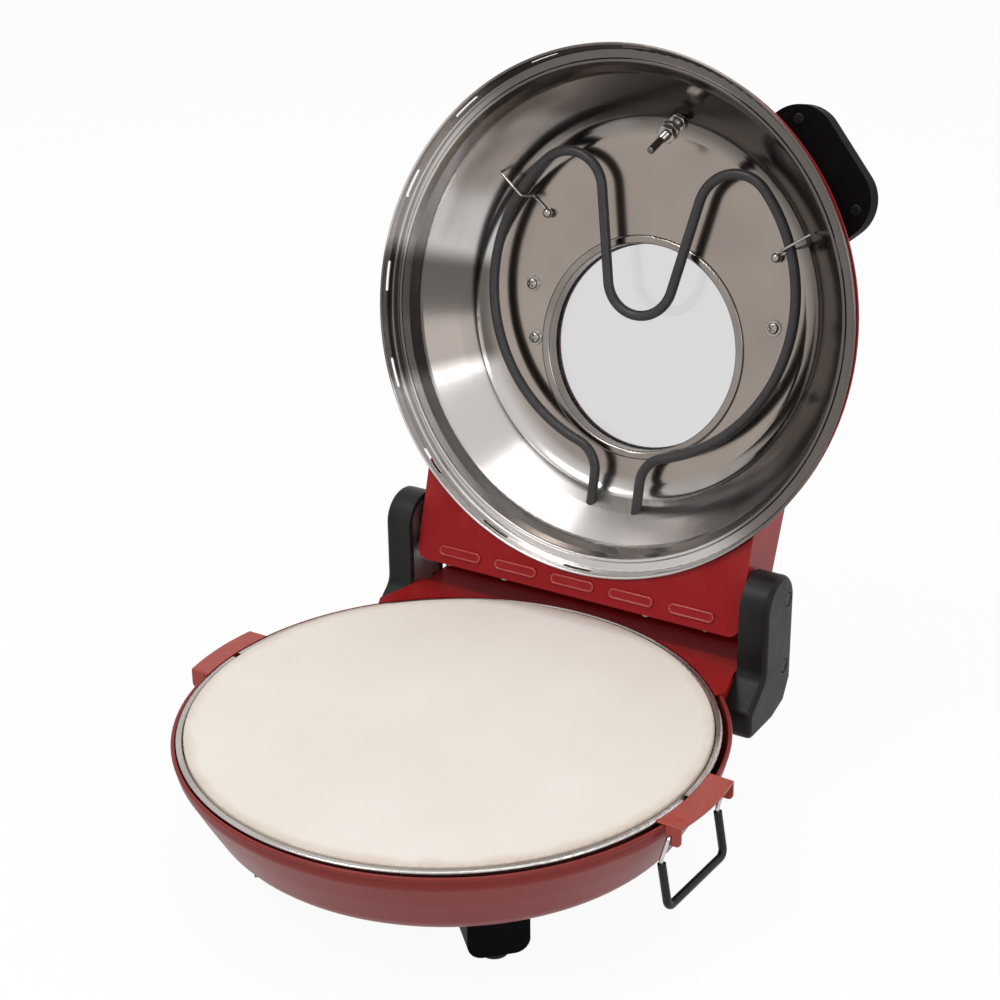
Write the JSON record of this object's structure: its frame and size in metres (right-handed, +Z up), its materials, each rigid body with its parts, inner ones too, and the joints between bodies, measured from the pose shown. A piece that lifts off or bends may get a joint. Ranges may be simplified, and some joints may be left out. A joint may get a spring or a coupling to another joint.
{
  "type": "electric pizza maker",
  "caption": "Round countertop pizza maker: a baking stone in a red pan on feet, and a domed lid with a window and a heating element, standing open on a rear hinge.",
  "frame": {"origin": "on the table plane, under the centre of the baking stone", "axes": "+Z up, normal to the stone's top; +X to the user's right along the hinge; +Y to the back, towards the hinge"},
  "size_m": [0.3482, 0.454, 0.4448],
  "materials": {
    "stone": "matte ceramic",
    "pan_paint": "gloss",
    "lid_paint": "gloss",
    "stainless": "brushed",
    "steel": "plain",
    "zinc": "bright",
    "chrome": "bright",
    "element": "satin",
    "black_plastic": "satin",
    "sleeve": "satin",
    "rubber": "matte",
    "glass": "clear",
    "gasket": "matte",
    "ceramic": "matte",
    "plug": "satin"
  },
  "bodies": {
    "base": {"arm_bolts": "zinc", "arm_left": "black_plastic", "arm_plate_left": "steel", "arm_plate_right": "steel", "arm_plugs": "plug", "arm_right": "black_plastic", "arm_screws": "zinc", "base_pan": "pan_paint", "cord_gland": "black_plastic", "foot_front_left": "black_plastic", "foot_front_right": "black_plastic", "foot_pads": "rubber", "foot_rear_left": "black_plastic", "foot_rear_right": "black_plastic", "foot_screws": "zinc", "hinge_pins": "zinc", "housing_cover": "steel", "housing_screws": "zinc", "lower_element": "element", "lower_element_clips": "steel", "rear_housing": "lid_paint", "side_strap_left": "lid_paint", "side_strap_right": "lid_paint", "standoff_screws": "zinc", "stone_tray": "stainless", "stop_pins": "zinc", "strap_rivets": "zinc", "terminal_block": "ceramic", "tray_standoffs": "steel"},
    "lid": {"lid_liner": "stainless", "lid_shell": "lid_paint", "window_frame": "stainless", "window_glass": "glass", "window_gasket": "gasket", "lid_spacers": "steel", "liner_screws": "zinc", "upper_element": "element", "element_terminals": "ceramic", "element_clips": "zinc", "clip_screws": "zinc", "thermostat_probe": "zinc", "probe_nuts": "zinc", "thermostat_body": "black_plastic", "lid_handle": "black_plastic", "handle_cover": "black_plastic", "handle_screws": "zinc", "handle_rivets": "zinc", "hinge_box": "lid_paint", "hinge_box_cover": "lid_paint", "cover_screws": "zinc", "hinge_bush_left": "zinc", "hinge_bush_right": "zinc", "hinge_plate_left": "steel", "hinge_plate_right": "steel"},
    "knob": {"thermostat_knob": "black_plastic"},
    "stone": {"baking_stone": "stone"},
    "bail_left": {"bail_wire_left": "chrome", "bail_sleeve_left": "sleeve"},
    "bail_right": {"bail_wire_right": "chrome", "bail_sleeve_right": "sleeve"}
  },
  "joints": [
    {"name": "lid_hinge", "type": "hinge", "parent": "base", "child": "lid", "pos_m": [0, 0.1684, 0.114], "axis": [1, 0, 0], "range_deg": [0, 102.5]},
    {"name": "thermostat_turn", "type": "hinge", "parent": "lid", "child": "knob", "pos_m": [0.01174, 0.26053, 0.39096], "axis": [0.0485, 0.9511, 0.3051], "range_deg": [-270, 0]},
    {"name": "stone_lift", "type": "slide", "parent": "base", "child": "stone", "axis": [0, 0, 1], "range_m": [0, 0.008]},
    {"name": "bail_left_swing", "type": "hinge", "parent": "base", "child": "bail_left", "pos_m": [-0.1633, 0.0008, 0.0808], "axis": [0, 1, 0], "range_deg": [-5, 100]},
    {"name": "bail_right_swing", "type": "hinge", "parent": "base", "child": "bail_right", "pos_m": [0.1655, -0.00724, 0.0808], "axis": [-0.0488, -0.9988, 0], "range_deg": [-5, 100]}
  ]
}
